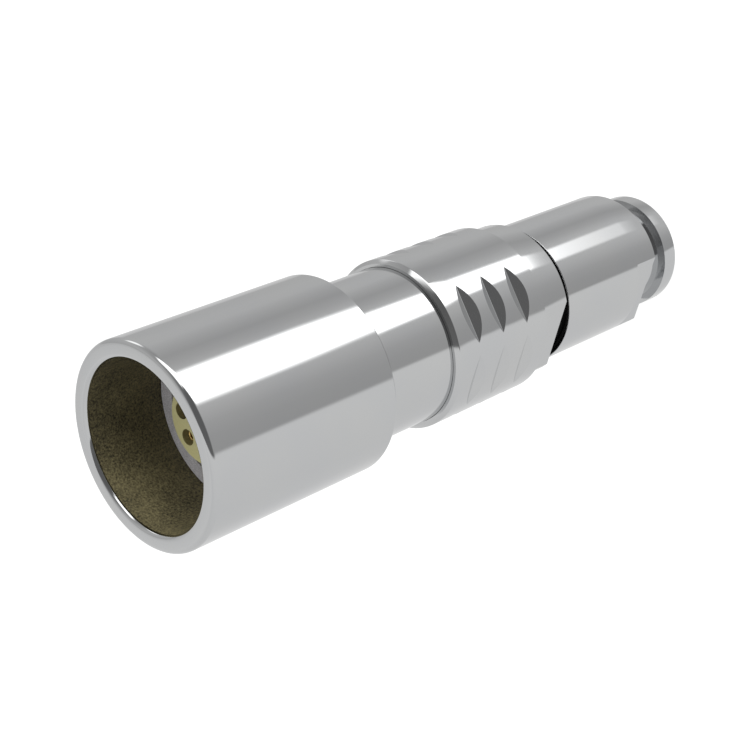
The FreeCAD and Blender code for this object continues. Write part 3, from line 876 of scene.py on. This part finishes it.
@dataclass
class CableNut:
    """Nut with wrench flats, a relief neck and a flange, and the seal in its mouth."""

    at: Heights
    radius: float = 4.78
    flats: float = 8.0
    counterbore: float = 4.5
    mouth_depth: float = 1.5
    mouth_lip: float = 0.07
    mouth_chamfer: float = 0.3
    thread_bore: float = 3.51
    floor_thickness: float = 0.65
    hole: float = 2.5
    relief: float = 3.43
    flange: float = 3.97
    flange_slope: float = 0.1
    hole_round: float = 0.08
    flange_round: float = 0.1
    edge_round: float = 0.03
    collar: float = COLLAR_RADIUS
    seal_section: float = 0.135
    seal_drop: float = 0.45
    seal_segments: int = 20
    seal_steps: int = 192
    seal_sharp: float = 60.0

    def build(self, paints: Paints) -> None:
        """Make the nut and its seal.

        Args:
            paints: the materials.
        """
        at = self.at
        floor = at.nut_rear + self.floor_thickness
        mouth_floor = at.nut_front - self.mouth_depth
        outline = [
            (self.hole, 0.0, self.hole_round), (self.flange, 0.0, self.flange_round),
            (self.flange, at.flange), (self.relief, at.flange + self.flange_slope),
            (self.relief, at.nut_rear), (self.radius, at.nut_rear, self.edge_round),
            (self.radius, at.nut_front, self.edge_round),
            (self.radius - self.mouth_lip, at.nut_front),
            (self.counterbore, at.nut_front - self.mouth_chamfer), (self.counterbore, mouth_floor),
            (self.thread_bore, mouth_floor), (self.thread_bore, floor), (self.hole, floor),
        ]
        mesh = turned(outline, steps=FINE_STEPS)
        cut_flats(mesh, self.flats, at.nut_rear, at.nut_flat)
        nut = Piece("cable_nut_body", Body.NUT, Slot.PLATED, ["collet_nut"], [Finish.PLATED])
        nut.build(mesh, paints)
        seal = Piece("seal_ring", Body.NUT, Slot.RUBBER, ["nut_seal"], [Finish.RUBBER])
        seal.build(self.seal(), paints, sharp=self.seal_sharp)

    def seal(self) -> bmesh.types.BMesh:
        """Round ring between the collar and the nut's mouth.

        Returns:
            The mesh.
        """
        mesh = bmesh.new()
        middle = Vector(((self.collar + self.counterbore) / 2 * MM, 0,
                         (self.at.nut_front - self.seal_drop) * MM))
        stand = Matrix.Translation(middle) @ Matrix.Rotation(math.pi / 2, 4, "X")
        bmesh.ops.create_circle(mesh, segments=self.seal_segments, radius=self.seal_section * MM,
                                matrix=stand, cap_ends=False)
        spin_full(mesh, self.seal_steps)
        bmesh.ops.recalc_face_normals(mesh, faces=mesh.faces[:])
        return mesh


@dataclass
class InnerParts:
    """Turned parts seen in the gap and through the cable hole, and the ones that stay as packed."""

    at: Heights
    collar_bore: float = 3.48
    collar_radius: float = COLLAR_RADIUS
    collar_drop: float = 0.65
    collar_length: float = 2.8
    collar_rear_round: float = 0.12
    collar_front_round: float = 0.05
    # Top of the collar's black band of painted shade, in millimetres
    painted_shade_top: float = 13.45
    washer: Ring = Ring(2.8, 3.45, 4.13, 4.73, ease=0.05)
    gasket: Ring = Ring(1.79, 2.17, 5.16, 10.46, ease=0.1)
    as_packed: dict = field(default_factory=lambda: {
        "insert_retaining_ring": Finish.BLASTED,
        # The rear insulator takes the darker cream of painted shade
        "rear_insulator": Finish.CREAM_PAINTED_SHADE,
        "insert_carrier_left": Finish.BRASS,
        "insert_carrier_right": Finish.BRASS,
        "insert_spacer": Finish.BRASS,
        "latch_sleeve": Finish.BRASS,
        "return_spring": Finish.STEEL,
        "collar_snap_ring": Finish.STEEL,
        "cable_collet": Finish.BRASS,
    })

    def collar(self) -> bmesh.types.BMesh:
        """Spring collar with a dull upper part and a black band of painted shade at the gap.

        Returns:
            The mesh.
        """
        low = self.at.nut_front - self.collar_drop
        high = low + self.collar_length
        mesh = turned([
            (self.collar_bore, low), (self.collar_radius, low, self.collar_rear_round),
            (self.collar_radius, self.painted_shade_top), (self.collar_radius, high, self.collar_front_round),
            (self.collar_bore, high),
        ])
        # Faces below that height take the black rubber finish: painted shade in the gap between the
        # sleeve and the nut
        for face in mesh.faces:
            black = face.calc_center_median().z < self.painted_shade_top * MM
            face.material_index = 1 if black else 0
        return mesh

    def build(self, paints: Paints) -> None:
        """Make the collar, washer and gasket, and dress what stays as packed.

        Args:
            paints: the materials.
        """
        # The collar's second finish, the black rubber, is painted shade on its lower band
        collar = Piece("guide_collar", Body.SOCKET, Slot.STEEL, ["spring_collar"],
                       [Finish.DULL, Finish.RUBBER])
        collar.build(self.collar(), paints)
        washer = Piece("end_washer", Body.COLLET, Slot.STEEL, ["thrust_washer"], [Finish.STEEL])
        washer.build(self.washer.mesh(), paints)
        gasket = Piece("gasket_tube", Body.COLLET, Slot.RUBBER, ["cable_gasket"], [Finish.RUBBER])
        gasket.build(self.gasket.mesh(), paints)
        for node, finish in self.as_packed.items():
            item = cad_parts[node]
            item.data.materials.clear()
            item.data.materials.append(paints[finish])
            log.info("%s stays as packed", node)


# Studio


@dataclass
class LightTent:
    """White backdrop for the camera, and a tent of light that only reflections show.

    Azimuths are in degrees from X towards Y. Heights are the Z part of a direction of length one.
    """

    edge_azimuth: float = 15.0
    pale_side: tuple = ((15, 0.63), (60, 0.8), (80, 0.77), (100, 0.74), (125, 0.76), (150, 0.78),
                        (193, 0.81))
    low_side: tuple = ((196, 0.435), (212, 0.455), (226, 0.5), (238, 0.58), (250, 0.65), (285, 0.65),
                       (298, 0.53), (310, 0.465), (322, 0.53), (336, 0.61), (348, 0.6), (374, 0.515))
    high_side: tuple = ((196, 0.165), (215, 0.155), (252, 0.14), (267, 0.165), (285, 0.24),
                        (302, 0.34), (315, 0.42), (327, 0.485), (340, 0.555), (350, 0.58),
                        (374, 0.515))
    side_change: Point = (-0.35, 0.05)
    nadir: Point = (-0.97, -0.9)
    nadir_level: float = 0.32
    strip_azimuth: float = 267.5
    strip_lean: float = 21.0
    lean_heights: Point = (-0.4, 0.35)
    strip_halves: Point = (13.3, 20.7)
    half_heights: Point = (-0.73, -0.615)
    strip_edge: Point = (0.7, 1.1)
    strip_foot: tuple = ((-0.83, 0.0), (-0.783, 0.115), (-0.767, 0.2), (-0.7545, 0.3),
                         (-0.741, 0.45), (-0.73, 0.75), (-0.71, 1.0))
    strip_head: Point = (0.42, 0.62)
    strip_level: float = 2.0
    spot_azimuth: float = 336.0
    spot_edge: Point = (0.972, 0.998)
    spot_level: float = 1.0
    white: float = 1.0

    def bands(self, nodes: Nodes, turn: Socket, side: Sequence[Point]) -> Socket:
        """Brightness of the tent round the axis.

        Args:
            nodes: the world's nodes.
            turn: position round the axis, from 0 to 1.
            side: (azimuth, level) pairs that follow those of the pale side.

        Returns:
            The colour socket.
        """
        return nodes.ramp(turn, [((azimuth - self.edge_azimuth) / 360, grey(level))
                                 for azimuth, level in (*self.pale_side, *side)])

    def walls(self, nodes: Nodes, turn: Socket, height: Socket) -> Socket:
        """Grey walls of the tent, which are dimmer at the bottom.

        Args:
            nodes: the world's nodes.
            turn: position round the axis, from 0 to 1.
            height: the direction's height.

        Returns:
            The colour socket.
        """
        tent = nodes.mix(nodes.steps(height, self.side_change),
                         self.bands(nodes, turn, self.low_side),
                         self.bands(nodes, turn, self.high_side))
        dim = nodes.ranged(height, self.nadir, (self.nadir_level, 1.0))
        return nodes.add("VectorMath", {0: tent, "Scale": dim}, operation="SCALE").outputs[0]

    def strip(self, nodes: Nodes, turn: Socket, height: Socket) -> Socket:
        """Upright strip light that leans and narrows towards its foot.

        Args:
            nodes: the world's nodes.
            turn: position round the axis, from 0 to 1.
            height: the direction's height.

        Returns:
            The value socket.
        """
        azimuth = nodes.math("ADD", nodes.math("MULTIPLY", turn, 360.0), self.edge_azimuth)
        middle = nodes.ranged(height, self.lean_heights,
                              (self.strip_azimuth, self.strip_azimuth + self.strip_lean), smooth=True)
        half = nodes.ranged(height, self.half_heights, self.strip_halves)
        offset = nodes.math("ABSOLUTE", nodes.math("SUBTRACT", azimuth, middle))
        sides = nodes.steps(nodes.math("DIVIDE", offset, half), self.strip_edge)
        width = nodes.math("SUBTRACT", 1.0, sides)
        foot, full = self.strip_foot[0][0], self.strip_foot[-1][0]
        stops = [((place - foot) / (full - foot), grey(level)) for place, level in self.strip_foot]
        fade = nodes.ramp(nodes.steps(height, (foot, full), smooth=False), stops)
        head = nodes.math("SUBTRACT", 1.0, nodes.steps(height, self.strip_head))
        length = nodes.math("MULTIPLY", fade, head)
        return nodes.math("MULTIPLY", nodes.math("MULTIPLY", width, length), self.strip_level)

    def spot(self, nodes: Nodes, way: Socket) -> Socket:
        """Small round light at the horizon.

        Args:
            nodes: the world's nodes.
            way: the direction.

        Returns:
            The value socket.
        """
        nearness = nodes.add("VectorMath", {0: way, 1: turn_by(self.spot_azimuth)},
                             operation="DOT_PRODUCT").outputs["Value"]
        return nodes.math("MULTIPLY", nodes.steps(nearness, self.spot_edge), self.spot_level)

    def build(self) -> None:
        """Make the world."""
        world = bpy.data.worlds.new("light_tent")
        bpy.context.scene.world = world
        world.use_nodes = True
        nodes = Nodes(world.node_tree)
        way = nodes.add("TexCoord").outputs["Generated"]
        parts = nodes.add("SeparateXYZ", {0: way}).outputs
        angle = nodes.math("ARCTAN2", parts[1], parts[0])
        past_edge = nodes.math("SUBTRACT", angle, math.radians(self.edge_azimuth))
        turn = nodes.math("FRACT", nodes.math("DIVIDE", past_edge, math.tau))
        glow = nodes.math("ADD", self.strip(nodes, turn, parts[2]), self.spot(nodes, way))
        shiny = nodes.add("VectorMath", {0: self.walls(nodes, turn, parts[2]), 1: glow},
                          operation="ADD").outputs[0]
        rays = nodes.add("LightPath").outputs
        mirror = nodes.math("MAXIMUM", rays["Is Glossy Ray"], rays["Is Transmission Ray"])
        plain = nodes.mix(mirror, grey(self.white), shiny)
        color = nodes.mix(rays["Is Camera Ray"], plain, grey(self.white))
        background = nodes.add("Background", {"Color": color, "Strength": 1.0})
        nodes.add("OutputWorld", {"Surface": background.outputs[0]})


@dataclass
class Studio:
    """Light tent, a soft lamp for the matt parts, and a pale floor."""

    floor_half: float = 1.5
    floor_matt: float = 0.8
    floor_lit: float = 0.22
    floor_glow: float = 0.87
    lamp_place: tuple = (0.08, -0.31, 0.16)
    lamp_target: tuple = (0, 0, 0.03)
    lamp_size: float = 0.16
    lamp_power: float = 1.2

    def floor(self) -> None:
        """Pale floor that the camera sees white, with the connector's shadow."""
        mesh = bmesh.new()
        bmesh.ops.create_grid(mesh, x_segments=4, y_segments=4, size=self.floor_half)
        data = bpy.data.meshes.new("floor")
        mesh.to_mesh(data)
        mesh.free()
        item = bpy.data.objects.new("floor", data)
        bpy.context.scene.collection.objects.link(item)
        item.visible_glossy = False
        item.visible_transmission = False
        material = bpy.data.materials.new("pale_floor")
        material.use_nodes = True
        nodes = Nodes(material.node_tree)
        matt = nodes.add("BsdfDiffuse", {"Color": grey(self.floor_matt)})
        lit = nodes.add("BsdfDiffuse", {"Color": grey(self.floor_lit)})
        glow = nodes.add("Emission", {"Color": grey(1.0), "Strength": self.floor_glow})
        seen = nodes.add("AddShader", {0: lit.outputs[0], 1: glow.outputs[0]})
        ray = nodes.add("LightPath").outputs["Is Camera Ray"]
        mix = nodes.add("MixShader", {0: ray, 1: matt.outputs[0], 2: seen.outputs[0]})
        nodes.add("OutputMaterial", {"Surface": mix.outputs[0]})
        data.materials.append(material)

    def lamp(self) -> None:
        """Soft square lamp that reflections don't show."""
        place = Vector(self.lamp_place)
        data = bpy.data.lights.new("key_lamp", "AREA")
        data.size = self.lamp_size
        data.energy = self.lamp_power
        item = bpy.data.objects.new("key_lamp", data)
        item.location = place
        item.rotation_euler = (place - Vector(self.lamp_target)).to_track_quat("Z", "Y").to_euler()
        item.visible_glossy = False
        bpy.context.scene.collection.objects.link(item)

    def build(self) -> None:
        """Set up the light, the floor and the view settings."""
        LightTent().build()
        self.floor()
        self.lamp()
        bpy.context.scene.view_settings.view_transform = "Standard"


@dataclass
class PhotoCamera:
    """Camera at the photograph's place, fitted to the outlines in it."""

    place: tuple = (-0.05124, -0.05641, 0.09194)
    right: tuple = (-0.6843, -0.1910, -0.7039)
    up: tuple = (0.5272, -0.7966, -0.2963)
    lens: float = 76.41
    sensor: float = 36.0
    nearest: float = 0.001

    def build(self) -> None:
        """Make the camera and use it."""
        right = Vector(self.right).normalized()
        up = Vector(self.up)
        up = (up - right * up.dot(right)).normalized()
        back = right.cross(up)
        data = bpy.data.cameras.new("photo_camera")
        data.sensor_width = self.sensor
        data.lens = self.lens
        data.clip_start = self.nearest
        item = bpy.data.objects.new("photo_camera", data)
        turn = Matrix((right, up, back)).transposed().to_4x4()
        item.matrix_world = Matrix.Translation(Vector(self.place)) @ turn
        bpy.context.scene.collection.objects.link(item)
        bpy.context.scene.camera = item


def main() -> None:
    """Build the connector, the studio and the camera."""
    logging.basicConfig(level=logging.INFO, format="%(message)s")
    PhotoCamera().build()
    at = Heights()
    paints = Paints()
    parts: Iterable = (SocketShell(at), ContactInsert(at), ReleaseSleeve(at), CableNut(at),
                       InnerParts(at))
    for part in parts:
        part.build(paints)
    Studio().build()


if __name__ == "__main__":
    main()
